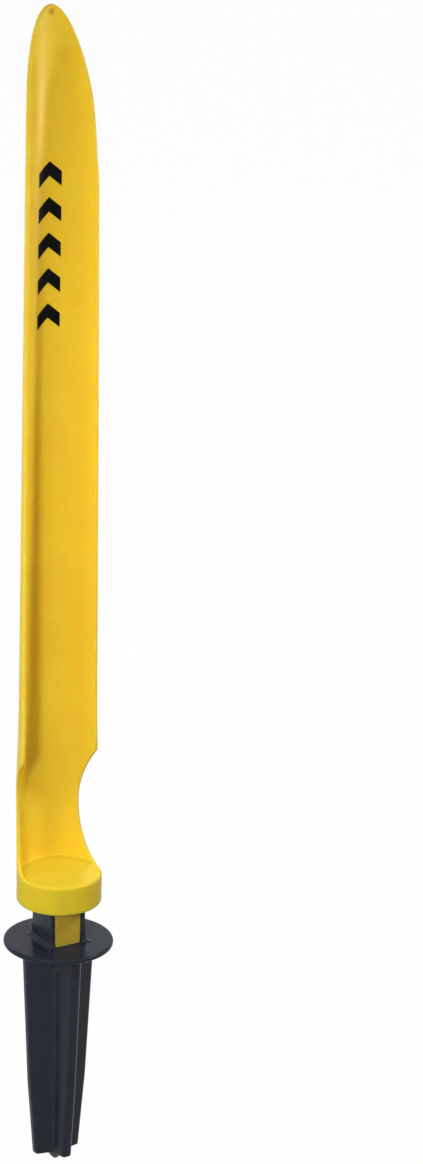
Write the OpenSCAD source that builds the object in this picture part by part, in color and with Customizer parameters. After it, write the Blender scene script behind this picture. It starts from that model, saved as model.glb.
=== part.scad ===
// Flexible course marker stake: a half-round blade on a round base disc,
// plugged by its square stem into a finned ground spike.
// The ground is the plane z = 0, the blade's hollow side faces -Y.

/* [Blade] */
// Height of the blade's tip above the ground
tip_z = 796; // [600:1:1000]
// Outer radius of the half-round blade where it leaves the base disc
blade_r = 35.5; // [30:0.1:42]
// Outer radius of the blade at its tip
tip_r = 34.6; // [30:0.1:42]
// Thickness of the blade's wall
wall = 3.2; // [2:0.1:5]
// Length of the arched tip
arch_len = 132; // [60:1:200]
// How far behind the axis the wing edges lie at the top of the waist notch
wing_low = 1; // [0:0.5:12]
// How far behind the axis the wing edges lie where the arch starts
wing_high = 9; // [0:0.5:20]

/* [Waist] */
// Height of the narrowest point above the base disc
waist_h = 54; // [45:1:80]
// How far behind the axis the wing edges lie at the narrowest point
waist_back = 20; // [14:0.5:26]
// Height from the narrowest point up to the sharp corner of the notch
notch_h = 48; // [40:1:80]
// How far in front of the axis the wings reach on the disc
foot_front = 3; // [0:0.5:8]
// Length of the stretch that flexes
flex_len = 56; // [40:1:70]

/* [Base] */
// Thickness of the base disc
disc_t = 25.5; // [16:0.5:40]
// Rounding of the disc's lower edge
disc_low_round = 2; // [1:0.5:10]
// Rounding of the disc's upper edge
disc_top_round = 2.4; // [0.5:0.1:4]
// Width of the square stem
stem_w = 25; // [18:0.1:30]
// Length of the lead-in taper at the stem's lower end
stem_lead = 5; // [2:0.5:8]
// Depth of the lead-in taper on each side of the stem
stem_lead_in = 1.2; // [0.5:0.1:3]

/* [Socket] */
// Height of the neck above the flange
neck_h = 35.5; // [20:0.5:60]
// Thickness of the neck's walls
neck_wall = 3.6; // [2.5:0.1:6]
// Clearance on each side of the stem
stem_gap = 0.3; // [0.1:0.05:0.6]
// How far the stem's front face lies behind the neck's open front
stem_set = 0.4; // [0.2:0.1:2]
// Radius of the fillet at the foot of the neck
neck_fillet = 3; // [1:0.5:5]
// Depth of the socket below the ground
socket_deep = 8; // [6:1:50]
// Room left under the stem's end
stem_room = 4; // [2:0.5:10]

/* [Flange] */
// Diameter of the flange that stops on the ground
flange_d = 92; // [80:1:120]
// Thickness of the flange
flange_t = 4.5; // [3:0.1:8]
// Rounding of the flange's rim
flange_round = 1.6; // [0.4:0.1:2]

/* [Spike] */
// Length of the fins below the ground
spike_len = 192; // [150:1:260]
// Depth at which the fins start to narrow faster
fin_bend = 125; // [90:1:140]
// Reach of the fins from the axis at the ground
fin_top_r = 33.2; // [28:0.1:38]
// Reach of the fins from the axis at the bend
fin_bend_r = 26.8; // [20:0.1:30]
// Reach of the fins from the axis at their lower end
fin_low_r = 20.8; // [14:0.1:26]
// Thickness of the fins' noses at the ground
fin_t = 8; // [5:0.1:12]
// Distance of the flutes between the fins from the axis
flute_r = 12.3; // [9:0.1:15]
// Wall of the boss around the socket
boss_wall = 2; // [1.5:0.1:4]
// Length of the taper from the boss down to the flutes
boss_taper = 16; // [10:1:60]
// Length of the point below the fins
point_len = 10; // [2:0.5:20]
// Radius of the point's blunt end
point_r = 4; // [0.5:0.1:6]

/* [Hidden] */
$fn = 96;
cut = 1; // how far a cutting tool runs past the face it opens
arc_step = 7.5; // degrees between points on an arc

// Heights from the ground up
flange_top = flange_t;
disc_low = flange_top + neck_h;
disc_top = disc_low + disc_t;
waist_z = disc_top + waist_h;
flex_low = waist_z - flex_len / 2;
flex_top = waist_z + flex_len / 2;
notch_top = waist_z + notch_h;
arch_z = tip_z - arch_len;

// Stem and socket, tied by the clearance
socket_w = stem_w + 2 * stem_gap;
neck_w = socket_w + 2 * neck_wall;
stem_front = neck_w / 2 - stem_set;
stem_back = stem_w / 2;
stem_low = stem_room - socket_deep;
socket_front = stem_front + stem_gap;
socket_back = stem_back + stem_gap;
boss_side = socket_w / 2 + boss_wall;
boss_front = socket_front + boss_wall;
boss_back = socket_back + boss_wall;

// Each flute is a corner between two fins
flute_half = flute_r / sqrt(2);

// The upper side of the notch is one arc through its deepest point and its corner
notch_in = waist_back - wing_low;
notch_arc_r = (notch_h * notch_h + notch_in * notch_in) / (2 * notch_in);
notch_arc_end = asin(notch_h / notch_arc_r);

yellow = [0.93, 0.73, 0.12];
black = [0.12, 0.13, 0.15];

// Outer radius of the blade at a height
function blade_radius(z) = blade_r + (tip_r - blade_r) * (z - disc_top) / (tip_z - disc_top);

// Where the wing edges lie behind the axis at a height above the notch
function wing_y(z) = wing_low + (wing_high - wing_low) * (z - notch_top) / (arch_z - notch_top);

// Half the width of the blade where the arch starts
arch_half = sqrt(pow(blade_radius(arch_z), 2) - pow(wing_high, 2));

// Angles from one end to the other in equal steps near arc_step
function sweep(from, to) =
    let (n = ceil(abs(to - from) / arc_step))
    [for (i = [0 : n]) from + (to - from) * i / n];

// Extrude a side view, drawn as [y, z], along X
module across_x(width) {
    rotate([90, 0, 90])
        translate([0, 0, -width / 2])
            linear_extrude(width) children();
}

// Extrude a front view, drawn as [x, z], along Y
module across_y(depth) {
    rotate([90, 0, 0])
        translate([0, 0, -depth / 2])
            linear_extrude(depth) children();
}

// Side view of the blade: flat behind, notched at the waist in front
module blade_side() {
    back = max(blade_r, tip_r) + cut;
    foot = [for (a = sweep(90, 0))
        [waist_back - (waist_back + foot_front) * (1 - cos(a)), waist_z - waist_h * sin(a)]];
    notch = [for (a = sweep(0, notch_arc_end))
        [waist_back - notch_arc_r * (1 - cos(a)), waist_z + notch_arc_r * sin(a)]];
    polygon(concat([[back, disc_top]], foot, notch, [[wing_y(tip_z), tip_z], [back, tip_z]]));
}

// Front view of the blade: straight below, half an ellipse at the tip
module blade_front() {
    side = max(blade_r, tip_r) + cut;
    arch = [for (a = sweep(0, 180)) [arch_half * cos(a), arch_z + arch_len * sin(a)]];
    polygon(concat([[-side, disc_top], [side, disc_top], [side, arch_z]], arch, [[-side, arch_z]]));
}

// The slice of the blade's half-round wall between two heights
module blade_slice(low, high) {
    span = 2 * (max(blade_r, tip_r) + cut);
    intersection() {
        difference() {
            translate([0, 0, low])
                cylinder(h = high - low, r1 = blade_radius(low), r2 = blade_radius(high));
            translate([0, 0, low - cut])
                cylinder(h = high - low + 2 * cut,
                         r1 = blade_radius(low - cut) - wall, r2 = blade_radius(high + cut) - wall);
        }
        across_x(span) blade_side();
        across_y(span) blade_front();
    }
}

module blade() {
    color(yellow) blade_slice(flex_top, tip_z);
}

module flex_waist() {
    color(yellow) blade_slice(flex_low, flex_top);
}

module blade_foot() {
    color(yellow) blade_slice(disc_top, flex_low);
}

module base_disc() {
    low = [for (a = sweep(-90, 0))
        [blade_r - disc_low_round * (1 - cos(a)), disc_low + disc_low_round * (1 + sin(a))]];
    top = [for (a = sweep(0, 90))
        [blade_r - disc_top_round * (1 - cos(a)), disc_top - disc_top_round * (1 - sin(a))]];
    color(yellow)
        rotate_extrude()
            polygon(concat([[0, disc_low]], low, top, [[0, disc_top]]));
}

// One view of the stem: a bar from one side to the other with a tapered lower end
module stem_view(from, to) {
    lead_z = stem_low + stem_lead;
    polygon([[from + stem_lead_in, stem_low], [to - stem_lead_in, stem_low],
             [to, lead_z], [to, disc_low], [from, disc_low], [from, lead_z]]);
}

module stem() {
    color(yellow)
        intersection() {
            across_x(stem_w + 2 * cut) stem_view(-stem_front, stem_back);
            across_y(2 * (stem_front + cut)) stem_view(-stem_w / 2, stem_w / 2);
        }
}

// The hole for the stem between two heights
module socket_hole(low, high) {
    translate([-socket_w / 2, -socket_front, low])
        cube([socket_w, socket_front + socket_back, high - low]);
}

// One view of the neck: straight walls with a fillet at the foot
module neck_view() {
    half = neck_w / 2;
    right = [for (a = sweep(90, 0))
        [half + neck_fillet * (1 - cos(a)), flange_top + neck_fillet * (1 - sin(a))]];
    left = [for (a = sweep(0, 90))
        [-half - neck_fillet * (1 - cos(a)), flange_top + neck_fillet * (1 - sin(a))]];
    polygon(concat(right, [[half, disc_low], [-half, disc_low]], left));
}

module neck_socket() {
    span = neck_w + 2 * (neck_fillet + cut);
    color(black)
        difference() {
            intersection() {
                across_x(span) neck_view();
                across_y(span) neck_view();
            }
            socket_hole(flange_top - cut, disc_low + cut);
            translate([-socket_w / 2, -span, flange_top - cut])
                cube([socket_w, span, neck_h + 2 * cut]);
        }
}

// A point turned about the axis by a number of quarter turns
function quarter(p, n) = n == 0 ? p : quarter([-p[1], p[0]], n - 1);

// The four fins seen from above, each wider towards the axis
module fin_star() {
    polygon([for (n = [0 : 3]) each [
        quarter([fin_top_r, -fin_t / 2], n),
        quarter([fin_top_r, fin_t / 2], n),
        quarter([flute_half, flute_half], n)]]);
}

// The head of the spike seen from above: the fins and the boss around the socket
module spike_head() {
    fin_star();
    translate([-boss_side, -boss_front])
        square([2 * boss_side, boss_front + boss_back]);
}

module ground_flange() {
    r = flange_d / 2;
    low = [for (a = sweep(-90, 0))
        [r - flange_round * (1 - cos(a)), flange_round * (1 + sin(a))]];
    top = [for (a = sweep(0, 90))
        [r - flange_round * (1 - cos(a)), flange_top - flange_round * (1 - sin(a))]];
    color(black)
        difference() {
            rotate_extrude() polygon(concat([[0, 0]], low, top, [[0, flange_top]]));
            translate([0, 0, -cut]) linear_extrude(flange_t + 2 * cut) spike_head();
        }
}

// One view of the fins: narrowing from the ground down, faster below the bend
module fin_view() {
    polygon([[-fin_top_r, 0], [-fin_bend_r, -fin_bend], [-fin_low_r, -spike_len],
             [fin_low_r, -spike_len], [fin_bend_r, -fin_bend], [fin_top_r, 0]]);
}

// One view of the boss: straight around the socket, then tapered into the flutes
module boss_view(from, to) {
    straight = -socket_deep - boss_wall;
    polygon([[from, 0], [from, straight], [-flute_half, straight - boss_taper],
             [flute_half, straight - boss_taper], [to, straight], [to, 0]]);
}

module ground_spike() {
    span = 2 * (fin_top_r + cut);
    color(black)
        difference() {
            union() {
                linear_extrude(flange_t) spike_head();
                intersection() {
                    translate([0, 0, -spike_len]) linear_extrude(spike_len) fin_star();
                    across_x(span) fin_view();
                    across_y(span) fin_view();
                }
                intersection() {
                    across_x(span) boss_view(-boss_front, boss_back);
                    across_y(span) boss_view(-boss_side, boss_side);
                }
                rotate_extrude()
                    polygon([[0, cut - spike_len], [flute_half, cut - spike_len], [flute_half, -spike_len],
                             [point_r, -spike_len - point_len], [0, -spike_len - point_len]]);
            }
            socket_hole(-socket_deep, flange_top + cut);
        }
}

blade();
flex_waist();
blade_foot();
base_disc();
stem();
neck_socket();
ground_flange();
ground_spike();
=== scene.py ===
import math
import bpy
import numpy as np
from mathutils import Matrix, Vector


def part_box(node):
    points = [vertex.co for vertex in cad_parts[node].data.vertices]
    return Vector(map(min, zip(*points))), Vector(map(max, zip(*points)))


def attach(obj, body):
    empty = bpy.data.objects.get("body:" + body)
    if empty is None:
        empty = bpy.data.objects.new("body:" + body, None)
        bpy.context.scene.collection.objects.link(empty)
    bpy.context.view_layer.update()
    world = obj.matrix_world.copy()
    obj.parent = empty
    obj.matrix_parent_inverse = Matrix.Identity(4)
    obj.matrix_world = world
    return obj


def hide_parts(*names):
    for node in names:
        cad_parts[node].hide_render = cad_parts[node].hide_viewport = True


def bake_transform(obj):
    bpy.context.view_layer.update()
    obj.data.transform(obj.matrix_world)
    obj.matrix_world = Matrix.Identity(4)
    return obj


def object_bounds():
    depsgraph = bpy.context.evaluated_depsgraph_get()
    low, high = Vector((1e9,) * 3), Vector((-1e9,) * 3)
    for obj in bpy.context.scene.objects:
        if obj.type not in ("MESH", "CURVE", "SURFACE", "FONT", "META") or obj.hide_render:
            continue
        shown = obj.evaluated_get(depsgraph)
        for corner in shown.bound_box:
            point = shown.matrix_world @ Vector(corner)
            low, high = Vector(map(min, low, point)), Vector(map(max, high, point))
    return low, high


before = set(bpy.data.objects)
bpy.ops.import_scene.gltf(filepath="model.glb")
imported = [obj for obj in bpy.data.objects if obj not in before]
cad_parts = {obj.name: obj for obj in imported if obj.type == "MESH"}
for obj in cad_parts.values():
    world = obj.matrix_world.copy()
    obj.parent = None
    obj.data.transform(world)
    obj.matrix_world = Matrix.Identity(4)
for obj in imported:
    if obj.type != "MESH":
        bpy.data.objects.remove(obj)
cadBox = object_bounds()  # the solids' own box, before anything is dressed
print("frame loaded:", ", ".join(sorted(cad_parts)))

# The camera stands where the outline of the photograph puts it: distance, height and
# turn about the stake, then a small yaw and pitch that lands the flange on its pixel.
cameraSetup = {
    "imageSize": (423.0, 1164.0),   # pixels
    "flangeCentre": (0.0, 0.0, 0.00225),
    "flangePixel": (58.3, 940.0),
    "distance": 4.0,                # metres from the flange
    "turn": -30.0,                  # degrees, to the left of the open side
    "height": 25.0,                 # degrees above the flange
    "roll": 1.5,                    # degrees
    "pixelSize": 0.00084,           # metres at the flange
    "sensor": 36.0,                 # millimetres, along the image's long side
    "farClip": 200.0,               # metres
    "aimPasses": 8,
}


def aimCamera(setup):
    # the three axes follow from the viewing direction and the roll; each pass then turns the
    # direction by the angle that the flange is still away from its pixel
    turn, height, roll = (math.radians(setup[key]) for key in ("turn", "height", "roll"))
    away = Vector((math.sin(turn) * math.cos(height), -math.cos(turn) * math.cos(height), math.sin(height)))
    target = Vector(setup["flangeCentre"])
    place = target + away * setup["distance"]
    focal = setup["distance"] / setup["pixelSize"]  # in pixels
    width, tall = setup["imageSize"]
    forward = -away
    for aimPass in range(setup["aimPasses"]):
        right = forward.cross(Vector((0, 0, 1))).normalized()
        up = right.cross(forward)
        side = right * math.cos(roll) + up * math.sin(roll)
        top = up * math.cos(roll) - right * math.sin(roll)
        offset = target - place
        pixelX = width / 2 + focal * offset.dot(side) / offset.dot(forward)
        pixelY = tall / 2 - focal * offset.dot(top) / offset.dot(forward)
        forward += right * (pixelX - setup["flangePixel"][0]) / focal
        forward -= up * (pixelY - setup["flangePixel"][1]) / focal
        forward.normalize()
    camera = bpy.data.objects.new("photoCamera", bpy.data.cameras.new("photoCamera"))
    camera.data.sensor_width = setup["sensor"]
    camera.data.lens = focal * setup["sensor"] / tall
    camera.data.clip_end = setup["farClip"]
    camera.matrix_world = Matrix((
        (side.x, top.x, -forward.x, place.x),
        (side.y, top.y, -forward.y, place.y),
        (side.z, top.z, -forward.z, place.z),
        (0, 0, 0, 1)))
    bpy.context.scene.collection.objects.link(camera)
    bpy.context.scene.camera = camera


aimCamera(cameraSetup)

# Turns are degrees from the blade's open side, to the right; lengths are in metres. The side lamp
# lights the hollow's left wall and the front lamp its right wall, so a band between the two stays in
# the shade of both wings. The left lamps light the left wing's outside, the last two the back and the
# top. Only the side lamp shows in the gloss.
lampSetup = {
    "sideLamp": {"turn": 63.5, "away": 0.60, "height": 0.53, "strength": 0.52, "size": 0.044, "streak": True},
    "frontLamp": {"turn": -47.0, "away": 0.80, "height": 0.38, "strength": 0.57, "size": 0.056},
    "leftLamp": {"turn": -82.0, "away": 0.75, "height": 0.50, "strength": 0.17, "size": 0.070},
    "leftBackLamp": {"turn": -118.0, "away": 0.90, "height": 0.55, "strength": 0.20, "size": 0.120},
    "backLamp": {"turn": 150.0, "away": 1.20, "height": 0.80, "strength": 0.45, "size": 0.200},
    "topLamp": {"turn": 10.0, "away": 0.80, "height": 2.50, "strength": 1.00, "size": 0.160},
}


def hangLamp(name, turn, away, height, strength, size, streak=False):
    # strength is how bright a white surface looks that faces the lamp from the distance away
    angle = math.radians(turn)
    data = bpy.data.lights.new(name, "POINT")
    data.energy = strength * 4 * math.pi ** 2 * away ** 2
    data.shadow_soft_size = size
    lamp = bpy.data.objects.new(name, data)
    lamp.location = (away * math.sin(angle), -away * math.cos(angle), height)
    lamp.visible_camera, lamp.visible_glossy = False, streak
    bpy.context.scene.collection.objects.link(lamp)


for lampName, lampValues in lampSetup.items():
    hangLamp(lampName, **lampValues)

roomSetup = {
    "roomLight": 0.35,      # strength of the even light from all round
    "floorColor": (0.80, 0.80, 0.80, 1.0),
    "floorWhite": 0.965,    # share of plain white that the camera sees on the floor
    "floorBounce": (0.12, 0.12, 0.12, 1.0),  # the floor as the stake sees it, to throw little light back
    "floorHalf": 40.0,
    "floorGap": 0.0005,     # below the spike's point
}


def plainRays(nodes, links):
    # 1 for what the camera sees, straight or in a reflection, and 0 for the light on the stake
    path = nodes.new("ShaderNodeLightPath")
    found = path.outputs["Is Camera Ray"]
    for kind in ("Is Glossy Ray", "Is Transmission Ray"):
        either = nodes.new("ShaderNodeMath")
        either.operation = "MAXIMUM"
        links.new(found, either.inputs[0])
        links.new(path.outputs[kind], either.inputs[1])
        found = either.outputs[0]
    return found


def splitRays(nodes, links, forStake, forCamera, out):
    # the stake is lit by the first shader, and the camera sees the second
    mix = nodes.new("ShaderNodeMixShader")
    links.new(plainRays(nodes, links), mix.inputs[0])
    links.new(forStake.outputs[0], mix.inputs[1])
    links.new(forCamera.outputs[0], mix.inputs[2])
    links.new(mix.outputs[0], out.inputs[0])


def buildWorld(setup):
    # an even light on the stake, and plain white for the camera
    world = bpy.data.worlds.new("paleRoom")
    bpy.context.scene.world = world
    world.use_nodes = True
    nodes, links = world.node_tree.nodes, world.node_tree.links
    nodes.clear()
    even, white = nodes.new("ShaderNodeBackground"), nodes.new("ShaderNodeBackground")
    for shade in (even, white):
        shade.inputs["Color"].default_value = (1, 1, 1, 1)
    even.inputs["Strength"].default_value = setup["roomLight"]
    splitRays(nodes, links, even, white, nodes.new("ShaderNodeOutputWorld"))


def buildFloor(setup, floorZ):
    # a wide plate, nearly white to the camera and dim to the stake
    material = bpy.data.materials.new("paleFloor")
    material.use_nodes = True
    nodes, links = material.node_tree.nodes, material.node_tree.links
    nodes.clear()
    pale, dim = nodes.new("ShaderNodeBsdfDiffuse"), nodes.new("ShaderNodeBsdfDiffuse")
    pale.inputs["Color"].default_value = setup["floorColor"]
    dim.inputs["Color"].default_value = setup["floorBounce"]
    lit = nodes.new("ShaderNodeMixShader")
    lit.inputs[0].default_value = setup["floorWhite"]
    links.new(pale.outputs[0], lit.inputs[1])
    links.new(nodes.new("ShaderNodeEmission").outputs[0], lit.inputs[2])
    splitRays(nodes, links, dim, lit, nodes.new("ShaderNodeOutputMaterial"))

    half = setup["floorHalf"]
    corners = [(-half, -half, floorZ), (half, -half, floorZ), (half, half, floorZ), (-half, half, floorZ)]
    mesh = bpy.data.meshes.new("paleFloor")
    mesh.from_pydata(corners, [], [(0, 1, 2, 3)])
    mesh.materials.append(material)
    floor = bpy.data.objects.new("paleFloor", mesh)
    bpy.context.scene.collection.objects.link(floor)


buildWorld(roomSetup)
buildFloor(roomSetup, cadBox[0].z - roomSetup["floorGap"])
bpy.context.scene.view_settings.view_transform = "Standard"
print("camera, lamps and floor in place")


# Mesh helpers, shared by all pieces.
def fromBack(radius, angle, z):
    # points at an angle from the back line, which is +Y, to the right
    return np.stack(np.broadcast_arrays(radius * np.sin(angle), radius * np.cos(angle), z), -1)


def fromSide(radius, turn, z):
    # points at a turn from +X, counter-clockwise seen from above
    return np.stack(np.broadcast_arrays(radius * np.cos(turn), radius * np.sin(turn), z), -1)


def ringFaces(rowCount, aroundCount, closeRows=False):
    # quads between neighbouring rings; rings run counter-clockwise seen from above
    row = np.arange(rowCount if closeRows else rowCount - 1)[:, None]
    col = np.arange(aroundCount)[None, :]
    nextRow, nextCol = (row + 1) % rowCount, (col + 1) % aroundCount
    quads = np.stack([row * aroundCount + col, row * aroundCount + nextCol,
                      nextRow * aroundCount + nextCol, nextRow * aroundCount + col], -1)
    return quads.reshape(-1, 4).tolist()


def ringsToMesh(rows, startPole=None, endPole=None, closeRows=False):
    # a stack of rings (row, around, xyz) becomes a skin; an end with a pole is drawn to it
    rowCount, aroundCount = rows.shape[:2]
    points = rows.reshape(-1, 3)
    faces = ringFaces(rowCount, aroundCount, closeRows)
    col = np.arange(aroundCount)
    nextCol = (col + 1) % aroundCount
    if startPole is not None:
        pole = np.full_like(col, len(points))
        faces += np.stack([pole, nextCol, col], -1).tolist()
        points = np.vstack([points, startPole])
    if endPole is not None:
        pole = np.full_like(col, len(points))
        base = (rowCount - 1) * aroundCount
        faces += np.stack([base + col, base + nextCol, pole], -1).tolist()
        points = np.vstack([points, endPole])
    return points, faces


def liftLoops(loops, heights):
    # flat closed outlines, each lifted to its height, make a stack of rings
    lifted = np.repeat(heights[:, None, None], len(loops[0]), 1)
    return np.concatenate([np.stack(loops), lifted], -1)


def convexity(points, faces, fullBend=300.0):
    # how sharply the skin bends outwards at each point: the mean over its edges of the drop below
    # its tangent plane over the edge's length squared, as a share of fullBend (in 1/m)
    tri = np.array([f[:3] for f in faces] + [[f[0], f[2], f[3]] for f in faces if len(f) == 4])
    normal = np.cross(points[tri[:, 1]] - points[tri[:, 0]], points[tri[:, 2]] - points[tri[:, 0]])
    pointNormal = np.zeros_like(points)
    for k in range(3):
        np.add.at(pointNormal, tri[:, k], normal)
    pointNormal /= np.linalg.norm(pointNormal, axis=1, keepdims=True) + 1e-20
    start = np.concatenate([tri[:, k] for k in range(3)])
    end = np.concatenate([tri[:, (k + 1) % 3] for k in range(3)])
    step = points[end] - points[start]
    length = np.linalg.norm(step, axis=1) + 1e-12
    total, count = np.zeros(len(points)), np.zeros(len(points))
    np.add.at(total, start, -(step * pointNormal[start]).sum(1) / length ** 2)
    np.add.at(count, start, 1)
    return np.clip(total / np.maximum(count, 1) / fullBend, 0, 1)


def makePiece(name, points, faces, material, sharpAngle):
    # the mesh, smooth but for edges sharper than sharpAngle, with its edgeNear values and its material
    mesh = bpy.data.meshes.new(name)
    mesh.from_pydata(points.tolist(), [], faces)
    mesh.polygons.foreach_set("use_smooth", np.ones(len(mesh.polygons), bool))
    mesh.set_sharp_from_angle(angle=math.radians(sharpAngle))
    edge = mesh.attributes.new("edgeNear", "FLOAT", "POINT")
    edge.data.foreach_set("value", convexity(points, faces).astype(np.float32))
    mesh.materials.append(material)
    mesh.validate()
    piece = bpy.data.objects.new(name, mesh)
    bpy.context.scene.collection.objects.link(piece)
    print(name, "-", len(mesh.vertices), "points,", len(mesh.polygons), "faces")
    return piece


def smoothStep(t):
    # 0 up to 0, 1 from 1 on, and 3tt - 2ttt between
    t = np.clip(t, 0, 1)
    return t * t * (3 - 2 * t)


def roundedLoop(corners, radii, steps=6):
    # a closed polygon with each corner replaced by an arc tangent to both its sides
    corners, radii = np.asarray(corners, float), np.asarray(radii, float)[:, None]
    toPrev = np.roll(corners, 1, 0) - corners
    toNext = np.roll(corners, -1, 0) - corners
    toPrev /= np.linalg.norm(toPrev, axis=1, keepdims=True)
    toNext /= np.linalg.norm(toNext, axis=1, keepdims=True)
    half = np.arccos(np.clip((toPrev * toNext).sum(1, keepdims=True), -1, 1)) / 2
    reach = radii / np.tan(half)
    middle = toPrev + toNext
    middle /= np.linalg.norm(middle, axis=1, keepdims=True)
    centre = corners + middle * radii / np.sin(half)
    start, end = corners + toPrev * reach - centre, corners + toNext * reach - centre
    share = np.linspace(0, 1, steps)[None, :, None]
    sweep = (math.pi - 2 * half)[:, :, None]
    fromStart, fromEnd = np.sin((1 - share) * sweep), np.sin(share * sweep)
    arc = (fromStart * start[:, None] + fromEnd * end[:, None]) / np.sin(sweep)
    return (centre[:, None] + arc).reshape(-1, 2)


# Node helpers, and the effects that the finishes share.
def groupSocket(group, name, inOut, value=None):
    socket = group.interface.new_socket(name=name, in_out=inOut, socket_type="NodeSocketFloat")
    if value is not None:
        socket.default_value = value


def feed(links, socket, source):
    # an output is linked to the socket, and a number or a colour is set on it
    if isinstance(source, bpy.types.NodeSocket):
        links.new(source, socket)
    else:
        socket.default_value = source


def addMath(nodes, links, operation, first, second, clamp=False):
    node = nodes.new("ShaderNodeMath")
    node.operation = operation
    node.use_clamp = clamp
    feed(links, node.inputs[0], first)
    feed(links, node.inputs[1], second)
    return node.outputs[0]


def addNoise(nodes, links, vector, scale, detail, roughness=0.5):
    node = nodes.new("ShaderNodeTexNoise")
    for key, source in (("Vector", vector), ("Scale", scale), ("Detail", detail), ("Roughness", roughness)):
        feed(links, node.inputs[key], source)
    return node.outputs[0]


def addRamp(nodes, links, value, low, high, lowTo=0.0, highTo=1.0):
    # a value from low to high becomes one from lowTo to highTo, with soft ends
    node = nodes.new("ShaderNodeMapRange")
    node.interpolation_type = "SMOOTHSTEP"
    for key, number in (("From Min", low), ("From Max", high), ("To Min", lowTo), ("To Max", highTo)):
        node.inputs[key].default_value = number
    links.new(value, node.inputs["Value"])
    return node.outputs[0]


def mixColor(nodes, links, share, first, second):
    # the first colour where share is 0, the second where it is 1
    node = nodes.new("ShaderNodeMix")
    node.data_type = "RGBA"
    links.new(share, node.inputs["Factor"])
    for key, source in (("A", first), ("B", second)):
        feed(links, next(s for s in node.inputs if s.name == key and s.type == "RGBA"), source)
    return next(s for s in node.outputs if s.type == "RGBA")


def startGroup(name, inputs, outputs):
    # a group with its sockets, and the piece's own coordinates in it
    group = bpy.data.node_groups.new(name, "ShaderNodeTree")
    for socketName, value in inputs.items():
        groupSocket(group, socketName, "INPUT", value)
    for socketName in outputs:
        groupSocket(group, socketName, "OUTPUT")
    nodes = group.nodes
    inside, outside = nodes.new("NodeGroupInput"), nodes.new("NodeGroupOutput")
    place = nodes.new("ShaderNodeTexCoord").outputs["Object"]
    return group, nodes, group.links, inside.outputs, outside.inputs, place


grainLook = {"fineDetail": 3.0, "patchDetail": 4.0, "patchRoughness": 0.6}


def mouldGrainGroup(look):
    # fine skin of a moulded surface: a grain height, and slow patches for colour and gloss
    sizes = {"Grain Size": 0.0012, "Patch Size": 0.05}
    group, nodes, links, given, result, place = startGroup("mouldGrain", sizes, ("Height", "Patches"))
    fineScale, slowScale = (addMath(nodes, links, "DIVIDE", 1.0, given[name]) for name in sizes)
    fine = addNoise(nodes, links, place, fineScale, look["fineDetail"])
    slow = addNoise(nodes, links, place, slowScale, look["patchDetail"], look["patchRoughness"])
    links.new(fine, result["Height"])
    links.new(slow, result["Patches"])
    return group


markLook = {
    "streakDetail": 3.0, "streakRoughness": 0.65, "streakRange": (0.62, 0.74),  # only the noise's peaks
    "placeScale": 14.0, "placeDetail": 2.0, "placeRange": (0.48, 0.66),         # and only here and there
}


def handlingMarksGroup(look):
    # faint scuffs along the piece: a noise drawn out along Z, kept where a slow noise is high
    sizes = {"Mark Width": 0.0016, "Mark Length": 0.03, "Amount": 0.3}
    group, nodes, links, given, result, place = startGroup("handlingMarks", sizes, ("Marks",))
    parts, joined = nodes.new("ShaderNodeSeparateXYZ"), nodes.new("ShaderNodeCombineXYZ")
    links.new(place, parts.inputs[0])
    for k, size in enumerate(("Mark Width", "Mark Width", "Mark Length")):
        links.new(addMath(nodes, links, "DIVIDE", parts.outputs[k], given[size]), joined.inputs[k])
    streak = addNoise(nodes, links, joined.outputs[0], 1.0, look["streakDetail"], look["streakRoughness"])
    where = addNoise(nodes, links, place, look["placeScale"], look["placeDetail"])
    thin = addRamp(nodes, links, streak, *look["streakRange"])
    patchy = addRamp(nodes, links, where, *look["placeRange"])
    marks = addMath(nodes, links, "MULTIPLY", thin, patchy)
    links.new(addMath(nodes, links, "MULTIPLY", marks, given["Amount"]), result["Marks"])
    return group


wearAndPaintedHighlightLook = {"noiseDetail": 3.0, "noiseRange": (0.3, 0.7), "leastWear": 0.35, "edgeRange": (0.12, 0.8)}


def edgeWearAndPaintedHighlightGroup(look):
    # rounded edges read from the mesh's own edgeNear values, broken up by a noise; the lighter edges are wear
    # and also painted highlight
    sizes = {"Amount": 0.5, "Patch Size": 0.006}
    group, nodes, links, given, result, place = startGroup("edgeWearAndPaintedHighlight", sizes, ("Wear And Painted Highlight",))
    edge = nodes.new("ShaderNodeAttribute")
    edge.attribute_name = "edgeNear"
    scale = addMath(nodes, links, "DIVIDE", 1.0, given["Patch Size"])
    noise = addNoise(nodes, links, place, scale, look["noiseDetail"])
    broken = addRamp(nodes, links, noise, *look["noiseRange"], look["leastWear"], 1.0)
    wornAndHighlit = addRamp(nodes, links, edge.outputs["Fac"], *look["edgeRange"])
    wornAndHighlit = addMath(nodes, links, "MULTIPLY", wornAndHighlit, broken)
    links.new(addMath(nodes, links, "MULTIPLY", wornAndHighlit, given["Amount"]), result["Wear And Painted Highlight"])
    return group


mouldGrain = mouldGrainGroup(grainLook)
handlingMarks = handlingMarksGroup(markLook)
edgeWearAndPaintedHighlight = edgeWearAndPaintedHighlightGroup(wearAndPaintedHighlightLook)


def placeGroup(nodes, group, values):
    # the group in a material, with that material's own values
    node = nodes.new("ShaderNodeGroup")
    node.node_tree = group
    for name, value in values.items():
        node.inputs[name].default_value = value
    return node.outputs
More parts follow.
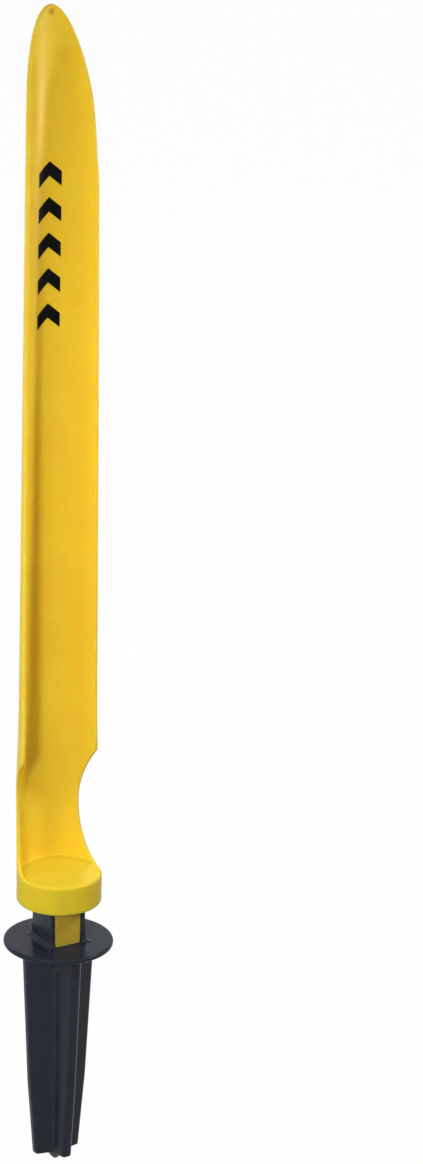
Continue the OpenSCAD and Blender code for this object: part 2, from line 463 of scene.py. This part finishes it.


# Two tones lie in slow patches, under lighter edges and scuffs; the lighter edges are wear and painted
# highlight. A scuff is duller by scuffDull.
yellowFinish = {
    "color": (0.93, 0.655, 0.040, 1.0),
    "deepColor": (0.90, 0.610, 0.034, 1.0),
    "scuffColor": (0.92, 0.70, 0.16, 1.0),
    # the edge colour is wear, and painted highlight on the rims
    "edgeColor": (0.97, 0.77, 0.15, 1.0),
    # the apex colour is painted shade inside the tip
    "paintedApexShadeColor": (0.40, 0.16, 0.03, 1.0),
    "roughLow": 0.40, "roughHigh": 0.50, "scuffDull": 0.5, "refraction": 1.5, "gloss": 0.17,
    "through": 0.36,                            # share of the light that wanders through the wall
    "throughDepth": (0.0090, 0.0012, 0.0002),   # how far its red, green and blue get
    "grain": {"Grain Size": 0.0011, "Patch Size": 0.06}, "grainHeight": 0.00004,
    "marks": {"Mark Width": 0.0014, "Mark Length": 0.028, "Amount": 0.22},
    "wearAndPaintedHighlight": {"Amount": 0.65, "Patch Size": 0.007},
}
# The disc is a darker copy of the blade's yellow: painted shade for its side, which gets less light.
discPaintedShadeFinish = dict(yellowFinish, color=(0.80, 0.605, 0.034, 1.0), deepColor=(0.77, 0.57, 0.028, 1.0))
# The stem's darker tones are painted shade: it stands in the shade under the disc.
stemPaintedShadeFinish = dict(yellowFinish, color=(0.61, 0.415, 0.043, 1.0), deepColor=(0.54, 0.355, 0.036, 1.0),
                  wearAndPaintedHighlight={"Amount": 0.15, "Patch Size": 0.007})  # darker tones are painted shade under the disc; the edges wear less
blackFinish = {
    "color": (0.021, 0.025, 0.040, 1.0),
    "deepColor": (0.016, 0.019, 0.032, 1.0),
    "scuffColor": (0.070, 0.072, 0.082, 1.0),
    "edgeColor": (0.075, 0.078, 0.088, 1.0),
    "roughLow": 0.18, "roughHigh": 0.30, "scuffDull": 0.4, "refraction": 1.5, "gloss": 0.10,
    "grain": {"Grain Size": 0.0009, "Patch Size": 0.03}, "grainHeight": 0.00003,
    "marks": {"Mark Width": 0.0011, "Mark Length": 0.016, "Amount": 0.35},
    "wearAndPaintedHighlight": {"Amount": 0.34, "Patch Size": 0.005},
}
spikeFinish = dict(blackFinish, gloss=0.16)  # the fins keep more of their shine than the flange
inkFinish = dict(
    blackFinish, color=(0.003, 0.003, 0.004, 1.0), deepColor=(0.005, 0.005, 0.005, 1.0),
    scuffColor=(0.08, 0.055, 0.010, 1.0),    # the plastic shows through thin ink
    edgeColor=(0.006, 0.006, 0.006, 1.0), roughLow=0.32, roughHigh=0.42, gloss=0.04,
    wearAndPaintedHighlight={"Amount": 0.2, "Patch Size": 0.005})
patchTones, patchRough = (0.35, 0.65), (0.3, 0.7)  # stretches of the patches' noise, for tone and roughness

# Small darker spot of painted shade at the apex inside the tip's hollow; it fades out from its core to its
# radius.
paintedApexShadeMark = {"place": (0.0, 0.0314, 0.7905), "core": 0.00042, "radius": 0.0042, "amount": 0.7}


def mouldedPlastic(name, finish, paintedApexShade=None):
    # tones by patches, over them lighter edges (wear and painted highlight), scuffs and the painted shade
    # spot at the tip, and the grain as bump
    material = bpy.data.materials.new(name)
    material.use_nodes = True
    nodes, links = material.node_tree.nodes, material.node_tree.links
    nodes.clear()
    out, skin = nodes.new("ShaderNodeOutputMaterial"), nodes.new("ShaderNodeBsdfPrincipled")
    links.new(skin.outputs[0], out.inputs[0])
    skin.inputs["IOR"].default_value = finish["refraction"]
    skin.inputs["Specular IOR Level"].default_value = finish["gloss"]
    if "through" in finish:
        skin.inputs["Subsurface Weight"].default_value = finish["through"]
        skin.inputs["Subsurface Radius"].default_value = finish["throughDepth"]
        skin.inputs["Subsurface Scale"].default_value = 1.0
    grain = placeGroup(nodes, mouldGrain, finish["grain"])
    marks = placeGroup(nodes, handlingMarks, finish["marks"])["Marks"]
    wearAndPaintedHighlight = placeGroup(nodes, edgeWearAndPaintedHighlight, finish["wearAndPaintedHighlight"])["Wear And Painted Highlight"]
    tone = addRamp(nodes, links, grain["Patches"], *patchTones)
    color = mixColor(nodes, links, tone, finish["deepColor"], finish["color"])
    # lighter edges: wear, and painted highlight
    color = mixColor(nodes, links, wearAndPaintedHighlight, color, finish["edgeColor"])
    color = mixColor(nodes, links, marks, color, finish["scuffColor"])
    # painted shade: a darker spot at the apex of the tip's hollow
    if paintedApexShade:
        spot = nodes.new("ShaderNodeVectorMath")
        spot.operation = "DISTANCE"
        spot.inputs[1].default_value = paintedApexShade["place"]
        links.new(nodes.new("ShaderNodeTexCoord").outputs["Object"], spot.inputs[0])
        near = addRamp(nodes, links, spot.outputs["Value"], paintedApexShade["core"], paintedApexShade["radius"], paintedApexShade["amount"], 0.0)
        color = mixColor(nodes, links, near, color, finish["paintedApexShadeColor"])
    links.new(color, skin.inputs["Base Color"])
    rough = addRamp(nodes, links, grain["Patches"], *patchRough, finish["roughLow"], finish["roughHigh"])
    dull = addMath(nodes, links, "MULTIPLY", marks, finish["scuffDull"])
    links.new(addMath(nodes, links, "ADD", rough, dull, True), skin.inputs["Roughness"])
    bump = nodes.new("ShaderNodeBump")
    bump.inputs["Distance"].default_value = finish["grainHeight"]
    bump.inputs["Strength"].default_value = 1.0
    links.new(grain["Height"], bump.inputs["Height"])
    links.new(bump.outputs[0], skin.inputs["Normal"])
    return material


yellowBlade = mouldedPlastic("yellowBlade", yellowFinish, paintedApexShadeMark)
yellowDiscPaintedShade = mouldedPlastic("yellowDiscPaintedShade", discPaintedShadeFinish)
yellowStemPaintedShade = mouldedPlastic("yellowStemPaintedShade", stemPaintedShadeFinish)
black = mouldedPlastic("blackPlastic", blackFinish)
blackSpike = mouldedPlastic("blackSpike", spikeFinish)
ink = mouldedPlastic("blackInk", inkFinish)
print("finishes ready")

# Marker blade: half a pipe. Height z and the angle from the back line give a point of the middle
# surface; the wall grows from nothing at the rim to its full thickness.
bladeShape = {
    "wall": 0.0032, "footRadius": 0.0355, "tipRadius": 0.0346,
    "flare": 0.0014, "flareHeight": 0.068, "flareSpan": 0.045,   # slight swelling at the waist
    "archLength": 0.132, "archWing": 0.009, "notchWing": 0.001,
    "archBlend": 0.02, "archEase": 0.36, "easeLoss": 0.8,        # soft bend between the wing and the arch
    "waistHeight": 0.054, "waistBack": 0.020, "notchHeight": 0.048, "footFront": 0.003,
    "rimRound": 0.0009, "rimPower": 2.2, "footFillet": 0.002, "filletFade": 0.006,
    "sink": 0.0032, "sinkUpper": 0.8, "tuck": 0.0003,            # the lower end hides in the disc
    "across": 65, "footRows": 44, "notchRows": 34, "straightRows": 90, "archRows": 72,
    "arcSamples": 500, "notchSamples": 240, "wingSamples": 900, "blockSize": 2000, "sharpAngle": 50.0,
}


def bladeLevels(shape):
    # heights of the foot, the waist, the notch's top, the arch's start and the tip
    foot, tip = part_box("blade_foot")[0].z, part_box("blade")[1].z
    waist = foot + shape["waistHeight"]
    return foot, waist, waist + shape["notchHeight"], tip - shape["archLength"], tip


def bladeRadius(shape, z):
    # a straight line from the foot to the tip, plus a bell curve for the flare
    levels = bladeLevels(shape)
    foot, tip = levels[0], levels[-1]
    taper = (shape["tipRadius"] - shape["footRadius"]) * np.clip((z - foot) / (tip - foot), 0, 1)
    bell = np.exp(-((z - foot - shape["flareHeight"]) / shape["flareSpan"]) ** 2)
    return shape["footRadius"] + taper + shape["flare"] * bell


def rimAngle(shape, z):
    # angle from the back line to the rim: a quarter ellipse at the foot, an arc above the
    # waist, a straight wing, then half an ellipse seen from the front at the tip
    waist, notch, arch = bladeLevels(shape)[1:4]
    radius = bladeRadius(shape, z) - shape["wall"] / 2
    low = np.clip((waist - z) / shape["waistHeight"], 0, 1)
    footY = shape["waistBack"] - (shape["waistBack"] + shape["footFront"]) * (1 - np.sqrt(1 - low * low))
    depth = shape["waistBack"] - shape["notchWing"]
    arc = (shape["notchHeight"] ** 2 + depth ** 2) / (2 * depth)
    notchY = shape["waistBack"] - arc + np.sqrt(arc ** 2 - np.clip(z - waist, 0, shape["notchHeight"]) ** 2)
    wingY = shape["notchWing"] + (shape["archWing"] - shape["notchWing"]) * (z - notch) / (arch - notch)
    y = np.where(z < waist, footY, np.where(z < notch, notchY, wingY))
    wing = np.arccos(np.clip(y / radius, -1, 1))
    archHalf = math.sqrt(float(bladeRadius(shape, np.array(arch))) ** 2 - shape["archWing"] ** 2)
    high = np.clip((z - arch) / shape["archLength"], 0, 1)
    top = np.arcsin(np.clip(archHalf * np.sqrt(1 - high * high) / radius, 0, 1))
    blend = shape["archBlend"]
    ease = shape["archEase"] * smoothStep((z - arch + blend) / (2 * blend)) * (1 - shape["easeLoss"] * high)
    both = (wing + top - np.sqrt((wing - top) ** 2 + ease ** 2)) / 2  # the lesser of the two, eased
    return np.where(z > arch - blend, np.maximum(both, 0), wing)


def rimDistance(shape, across, z):
    # shortest way to the rim on the flattened wall, for points (across, z)
    waist, notch, arch = bladeLevels(shape)[1:4]
    quarter = np.linspace(0, math.pi / 2, shape["arcSamples"])
    rimZ = np.concatenate([waist - shape["waistHeight"] * np.sin(quarter[::-1]),
                           np.linspace(waist, notch, shape["notchSamples"]),
                           np.linspace(notch, arch, shape["wingSamples"]),
                           arch + shape["archLength"] * np.sin(quarter)])
    rimX = rimAngle(shape, rimZ) * (bladeRadius(shape, rimZ) - shape["wall"] / 2)
    flat = np.stack([np.abs(across).ravel(), z.ravel()], -1)
    found = np.empty(len(flat))
    for start in range(0, len(flat), shape["blockSize"]):  # in blocks, to keep the arrays small
        part = flat[start:start + shape["blockSize"]]
        gap = (part[:, None, 0] - rimX) ** 2 + (part[:, None, 1] - rimZ) ** 2
        found[start:start + shape["blockSize"]] = np.sqrt(gap.min(1))
    return found.reshape(across.shape)


def buildBlade(shape, material):
    # each row is a ring: the outer wall from the right rim to the left, then the inner wall back
    foot, waist, notch, arch, tip = bladeLevels(shape)
    quarter = np.linspace(math.pi / 2, 0, shape["footRows"])
    archTurn = np.linspace(0, math.pi / 2, shape["archRows"] + 1)[1:-1]
    z = np.concatenate([[foot - shape["sink"], foot - shape["sink"] * shape["sinkUpper"]],
                        waist - shape["waistHeight"] * np.sin(quarter),
                        np.linspace(waist, notch, shape["notchRows"])[1:],
                        np.linspace(notch, arch, shape["straightRows"])[1:],
                        arch + shape["archLength"] * np.sin(archTurn)])
    count = shape["across"]
    across = np.sin(math.pi / 2 * np.linspace(1, -1, count))  # crowded towards both rims
    level = np.maximum(z, foot)
    middle = bladeRadius(shape, level) - shape["wall"] / 2
    angle = across[None, :] * rimAngle(shape, level)[:, None]
    heights = np.repeat(level[:, None], count, 1)
    distance = rimDistance(shape, angle * middle[:, None], heights)
    distance[:, [0, -1]] = 0.0
    inward = 1 - np.clip(distance / shape["rimRound"], 0, 1)
    half = shape["wall"] / 2 * (1 - inward ** shape["rimPower"]) ** (1 / shape["rimPower"])
    above = np.clip(heights - foot, 0, shape["footFillet"])
    fillet = shape["footFillet"] - np.sqrt(shape["footFillet"] ** 2 - (shape["footFillet"] - above) ** 2)
    fillet = fillet * smoothStep(distance / shape["filletFade"])
    outer, inner = middle[:, None] + half, middle[:, None] - half - fillet
    outer[0] -= shape["tuck"]
    rows = np.concatenate([fromBack(outer, angle, z[:, None]),
                           fromBack(inner, angle, z[:, None])[:, -2:0:-1]], 1)
    points, faces = ringsToMesh(rows, endPole=[0.0, float(middle[-1]), tip])
    outerCol = np.arange(count)
    innerCol = 2 * count - 2 - outerCol  # the inner point behind an outer one
    faces += [[0, int(innerCol[1]), 1], [count - 1, count - 2, int(innerCol[-2])]]
    faces += np.stack([outerCol[1:-2], innerCol[1:-2], innerCol[2:-1], outerCol[2:-1]], -1).tolist()
    return makePiece("markerBlade", points, faces, material, shape["sharpAngle"])


blade = buildBlade(bladeShape, yellowBlade)
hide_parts("blade", "flex_waist", "blade_foot")
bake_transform(blade)

# Printed arrows: plain chevrons up the back line, each a thin slab bent round the inner wall.
arrowShape = {
    "count": 5, "lowest": 0.530, "pitch": 0.0295, "halfWidth": 0.0105, "rise": 0.009, "stroke": 0.012,
    "proud": 0.00012, "sunk": 0.0004, "across": 33, "sharpAngle": 30.0,
}


def buildArrows(shape, material):
    # the share across gives the angle, and the height falls with the distance from the middle;
    # four points, two in front of the wall and two behind it, make each cross-section
    step = np.arange(shape["count"])[:, None, None]
    share = np.linspace(-1, 1, shape["across"])[None, :, None]
    low = shape["lowest"] + step * shape["pitch"] + shape["rise"] * (1 - np.abs(share))
    z = low + np.array([0, 0, shape["stroke"], shape["stroke"]])
    wall = bladeRadius(bladeShape, z) - bladeShape["wall"]
    radius = wall + np.array([-shape["proud"], shape["sunk"], shape["sunk"], -shape["proud"]])
    points = fromBack(radius, share * shape["halfWidth"] / wall, z).reshape(-1, 3)
    pointCount = 4 * shape["across"]  # in one arrow
    ends = [[3, 2, 1, 0], [pointCount - 4, pointCount - 3, pointCount - 2, pointCount - 1]]
    quads = np.vstack([ringFaces(shape["across"], 4), ends]) + step * pointCount
    return makePiece("printedArrows", points, quads.reshape(-1, 4).tolist(), material, shape["sharpAngle"])


arrows = buildArrows(arrowShape, ink)
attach(arrows, "blade")

# Base disc: a profile turned about the axis, flat below and above, with both edges rounded.
discShape = {
    "lowRound": 0.002, "topRound": 0.0024, "around": 176, "arcSteps": 14,
    "poleRing": 0.004, "lowRings": 8, "sideRings": 8, "topRings": 12, "sharpAngle": 30.0,
}


def turned(profile, around):
    # each point (radius, z) of the profile becomes a ring about the axis
    turn = np.linspace(0, 2 * math.pi, around, endpoint=False)
    return fromSide(profile[:, 0, None], turn, profile[:, 1, None])


def arcPoints(centreR, centreZ, radius, fromDegrees, toDegrees, steps):
    # points (radius, z) evenly along an arc about its centre
    angle = np.radians(np.linspace(fromDegrees, toDegrees, steps))
    return np.stack([centreR + radius * np.cos(angle), centreZ + radius * np.sin(angle)], -1)


def buildDisc(shape, material):
    # straight stretches and two quarter arcs, from the lower pole to the upper one
    low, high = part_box("base_disc")
    radius, steps = high.x, shape["arcSteps"]
    lowFlat, topFlat = radius - shape["lowRound"], radius - shape["topRound"]
    lowSide, topSide = low.z + shape["lowRound"], high.z - shape["topRound"]
    profile = np.concatenate([
        np.linspace((shape["poleRing"], low.z), (lowFlat, low.z), shape["lowRings"])[:-1],
        arcPoints(lowFlat, lowSide, shape["lowRound"], -90, 0, steps),
        np.linspace((radius, lowSide), (radius, topSide), shape["sideRings"])[1:-1],
        arcPoints(topFlat, topSide, shape["topRound"], 0, 90, steps),
        np.linspace((topFlat, high.z), (shape["poleRing"], high.z), shape["topRings"])[1:]])
    points, faces = ringsToMesh(turned(profile, shape["around"]), [0, 0, low.z], [0, 0, high.z])
    return makePiece("baseDisc", points, faces, material, shape["sharpAngle"])


disc = buildDisc(discShape, yellowDiscPaintedShade)
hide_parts("base_disc")
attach(disc, "base")

# Plug stem: a rounded oblong carried up the axis, drawn in at its lower end for an easy start.
stemShape = {
    "edgeRound": 0.0016, "lead": 0.005, "leadIn": 0.0012, "sink": 0.0008,
    "endRound": 0.0008, "endMiddle": 0.3,   # share of the end's rounding at its middle ring
    "sharpAngle": 30.0,
}


def buildStem(shape, material):
    # six rings, each the stem's oblong drawn in by its inset
    low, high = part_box("stem")
    endMiddle = shape["endRound"] * shape["endMiddle"]
    inset = [shape["leadIn"] + shape["endRound"], shape["leadIn"] + endMiddle, shape["leadIn"], 0.0, 0.0, 0.0]
    z = np.array([low.z, low.z + endMiddle, low.z + shape["endRound"],
                  low.z + shape["lead"], (low.z + high.z) / 2, high.z + shape["sink"]])
    loops = [roundedLoop([(low.x + d, low.y + d), (high.x - d, low.y + d), (high.x - d, high.y - d),
                          (low.x + d, high.y - d)], [shape["edgeRound"]] * 4) for d in inset]
    middle = (low.y + high.y) / 2
    points, faces = ringsToMesh(liftLoops(loops, z), [0, middle, low.z], [0, middle, float(z[-1])])
    return makePiece("plugStem", points, faces, material, shape["sharpAngle"])


stem = buildStem(stemShape, yellowStemPaintedShade)
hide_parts("stem")
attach(stem, "base")

# The socket's oblong hole leaves the stem a little room on each side.
stemClearance = 0.0003
stemLow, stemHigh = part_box("stem")
socketHole = {
    "side": stemHigh.x + stemClearance,
    "front": stemClearance - stemLow.y,
    "back": stemHigh.y + stemClearance,
}

# Socket neck: a square U, open towards the front, carried up the axis; it leans in a little, and
# its outside runs out into the flange with a fillet.
neckShape = {
    "wall": 0.0036, "fillet": 0.0045, "draft": 0.0005, "cornerRound": 0.0016, "lipRound": 0.0005,
    "topRound": 0.0006, "filletRings": 12, "wallRings": 8, "topEvery": 3, "sharpAngle": 35.0,
}


def buildNeck(shape, material):
    # each ring is the U's outline, with its outside moved by fillet and draft and the top edge rounded
    low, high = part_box("neck_socket")
    hole, back = socketHole["side"], socketHole["back"]
    fillet, topRound = shape["fillet"], shape["topRound"]
    quarter = np.linspace(0, math.pi / 2, shape["filletRings"])
    z = np.concatenate([low.z + fillet * (1 - np.cos(quarter)),
                        np.linspace(low.z + fillet, high.z, shape["wallRings"])[1:-1],
                        high.z - topRound * (1 - np.sin(quarter[::shape["topEvery"]]))])
    flare = np.clip((fillet - (z - low.z)) / fillet, 0, 1)
    moved = fillet * (1 - np.sqrt(1 - flare * flare))
    moved += shape["draft"] * (1 - 2 * (z - low.z) / (high.z - low.z))
    rounding = np.clip((z - high.z + topRound) / topRound, 0, 1)
    edge = topRound * (1 - np.sqrt(1 - rounding * rounding))
    radii = [shape["lipRound"]] * 6 + [shape["cornerRound"]] * 2
    loops = []
    for outer, inner in zip(hole + shape["wall"] + moved - edge, hole + edge):
        rear = back + inner - hole
        corners = [(-outer, -outer), (-inner, -outer), (-inner, rear), (inner, rear),
                   (inner, -outer), (outer, -outer), (outer, outer), (-outer, outer)]
        loops.append(roundedLoop(corners, radii))
    points, faces = ringsToMesh(liftLoops(loops, z))
    count = len(loops[0])
    faces.append(list(range(count))[::-1])  # both ends are closed by one face
    faces.append(list(range(len(points) - count, len(points))))
    return makePiece("socketNeck", points, faces, material, shape["sharpAngle"])


neck = buildNeck(neckShape, black)
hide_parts("neck_socket")
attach(neck, "spike")

# Stop flange: a round plate with a rounded rim; straight lines run from the hole to the rim.
flangeShape = {
    "rimRound": 0.0019, "around": 240, "across": 14, "arcSteps": 10,
    "trim": 0.00002,    # keeps the rim inside the solid's box
    "sharpAngle": 30.0,
}


def holeReach(turn):
    # distance from the axis to the side of the oblong hole in each direction
    across, along = np.maximum(np.abs(np.cos(turn)), 1e-9), np.maximum(np.abs(np.sin(turn)), 1e-9)
    end = np.where(np.sin(turn) > 0, socketHole["back"], socketHole["front"])
    return np.minimum(socketHole["side"] / across, end / along)


def holeTurns(count):
    # directions that divide the turn between neighbouring corners of the hole evenly
    side, front, back = socketHole["side"], socketHole["front"], socketHole["back"]
    ends = np.array([math.atan2(-front, side), math.atan2(back, side), math.atan2(back, -side),
                     math.atan2(-front, -side) + 2 * math.pi, math.atan2(-front, side) + 2 * math.pi])
    quarters = np.linspace(ends[:-1], ends[1:], count // 4, endpoint=False)
    return quarters.T.ravel()


def buildFlange(shape, material):
    # rings go out along the underside, round the rim and back along the top, and close on the first
    low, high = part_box("ground_flange")
    turn = holeTurns(shape["around"])
    inner = holeReach(turn)
    rim, steps = shape["rimRound"], shape["arcSteps"]
    flat = high.x - shape["trim"] - rim
    arcs = np.concatenate([arcPoints(flat, low.z + rim, rim, -90, 0, steps),
                           arcPoints(flat, high.z - rim, rim, 0, 90, steps)])
    share = np.linspace(0, 1, shape["across"])[:-1]
    outward = inner + share[:, None] * (flat - inner)
    reach = np.concatenate([outward, np.repeat(arcs[:, :1], len(turn), 1), outward[::-1]])
    z = np.concatenate([np.full(len(share), low.z), arcs[:, 1], np.full(len(share), high.z)])
    points, faces = ringsToMesh(fromSide(reach, turn, z[:, None]), closeRows=True)
    return makePiece("stopFlange", points, faces, material, shape["sharpAngle"])


flange = buildFlange(flangeShape, black)
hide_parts("ground_flange")
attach(flange, "spike")

# Fin spike: in each direction about the axis the skin lies where a distance field of the four fins
# and the boss is zero; corners between fins and the fins' noses are rounded in the field itself.
spikeShape = {
    "length": 0.192, "bend": 0.125, "topReach": 0.0332, "bendReach": 0.0268, "lowReach": 0.0208,
    "noseThickness": 0.008, "fluteTop": 0.0150, "fluteLow": 0.0098, "noseRound": 0.0026, "fluteRound": 0.0035,
    "bossSide": 0.0148, "bossFront": 0.0183, "bossLow": 0.010, "bossTaper": 0.016, "bossRound": 0.0025,
    "bossBlend": 0.004, "bossEnd": 0.004,   # the boss runs out that far inside the flutes
    "pointLength": 0.010, "pointReach": 0.0085, "pointPower": 1.6, "lowRound": 0.0012,
    "socketDeep": 0.008, "socketLip": 0.001,
    "around": 480, "rows": 110, "lowRows": 10, "pointRows": 14, "pointStart": 0.06, "sharpAngle": 40.0,
    "searchFrom": 0.002, "searchTo": 0.05, "searchSteps": 36, "trialTurns": 14400, "trialHeight": -0.07,
}


def roundJoin(first, second, radius):
    # union of two fields with a fillet in the corner
    corner = np.hypot(np.maximum(radius - first, 0), np.maximum(radius - second, 0))
    return np.maximum(radius, np.minimum(first, second)) - corner


def roundMeet(first, second, radius):
    # intersection of two fields with a rounded edge
    corner = np.hypot(np.maximum(radius + first, 0), np.maximum(radius + second, 0))
    return np.minimum(-radius, np.maximum(first, second)) + corner


def spikeField(shape, x, y, z):
    # below zero inside: two crossed pairs of fins whose flanks lean from the flute to the nose,
    # joined with the boss, an oblong that tapers off into the flutes
    heights = [0, shape["bend"], shape["length"]]
    reach = np.interp(-z, heights, [shape["topReach"], shape["bendReach"], shape["lowReach"]])
    flute = np.interp(-z, [0, shape["length"]], [shape["fluteTop"], shape["fluteLow"]]) / math.sqrt(2)
    lean = np.arctan2(flute - shape["noseThickness"] / 2, reach - flute)
    outX, outY = np.abs(x), np.abs(y)
    flankX = (outX - flute) * np.sin(lean) + (outY - flute) * np.cos(lean)
    flankY = (outY - flute) * np.sin(lean) + (outX - flute) * np.cos(lean)
    fins = roundJoin(roundMeet(flankX, outX - reach, shape["noseRound"]),
                     roundMeet(flankY, outY - reach, shape["noseRound"]), shape["fluteRound"])
    taper = np.clip((-z - shape["bossLow"]) / shape["bossTaper"], 0, 1)
    bossEnd = flute - shape["bossEnd"]
    halfX = shape["bossSide"] + (bossEnd - shape["bossSide"]) * taper
    halfY = (shape["bossSide"] + shape["bossFront"]) / 2
    shiftY = (shape["bossSide"] - shape["bossFront"]) / 2 * (1 - taper)
    halfY = halfY + (bossEnd - halfY) * taper
    bossX = outX - halfX + shape["bossRound"]
    bossY = np.abs(y - shiftY) - halfY + shape["bossRound"]
    boss = np.hypot(np.maximum(bossX, 0), np.maximum(bossY, 0)) + np.minimum(np.maximum(bossX, bossY), 0)
    above = np.clip((z + shape["length"]) / shape["lowRound"], 0, 1)
    inset = shape["lowRound"] * (1 - np.sqrt(1 - (1 - above) ** 2))  # rounds the fins' lower ends
    return roundJoin(fins, boss - shape["bossRound"], shape["bossBlend"]) + inset


def spikeReach(shape, turn, z):
    # distance from the axis at which the field changes sign, by halving the interval
    size = np.broadcast(turn, z).shape
    low, high = np.full(size, shape["searchFrom"]), np.full(size, shape["searchTo"])
    for halving in range(shape["searchSteps"]):
        middle = (low + high) / 2
        inside = spikeField(shape, middle * np.cos(turn), middle * np.sin(turn), z) < 0
        low, high = np.where(inside, middle, low), np.where(inside, high, middle)
    return (low + high) / 2


def spikeTurns(shape):
    # directions that divide the outline at one height into steps of equal length
    fine = np.linspace(0, 2 * math.pi, shape["trialTurns"], endpoint=False) + math.pi / 4
    trial = spikeReach(shape, fine, np.array(shape["trialHeight"]))
    step = np.hypot(np.diff(trial, append=trial[0]), trial * (fine[1] - fine[0]))
    walked = np.concatenate([[0], np.cumsum(step)])
    even = np.linspace(0, walked[-1], shape["around"], endpoint=False)
    return np.interp(even, walked, np.append(fine, fine[0] + 2 * math.pi))


def buildSpike(shape, material):
    # rings go from the point out along the lower end, up the fins and down into the socket
    length, deep, lip = shape["length"], shape["socketDeep"], shape["socketLip"]
    turn = spikeTurns(shape)
    lowEdge = shape["lowRound"] * (1 - np.cos(np.linspace(0, math.pi / 2, shape["lowRows"])))
    upward = np.linspace(0, 1, shape["rows"])[1:]
    z = np.concatenate([lowEdge - length, (shape["lowRound"] - length) * (1 - upward)])
    reach = spikeReach(shape, turn[None, :], z[:, None])
    pointReach = np.linspace(shape["pointStart"], 1, shape["pointRows"])[:-1, None] * reach[0]
    pointShare = np.clip(1 - (pointReach / shape["pointReach"]) ** shape["pointPower"], 0, 1)
    socketZ = np.array([0.0, -lip, lip - deep, -deep])
    rows = np.concatenate([fromSide(pointReach, turn, -length - shape["pointLength"] * pointShare),
                           fromSide(reach, turn, z[:, None]),
                           fromSide(holeReach(turn), turn, socketZ[:, None])])
    points, faces = ringsToMesh(rows, [0, 0, -length - shape["pointLength"]], [0, 0, -deep])
    return makePiece("finSpike", points, faces, material, shape["sharpAngle"])


spike = buildSpike(spikeShape, blackSpike)
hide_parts("ground_spike")
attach(spike, "spike")
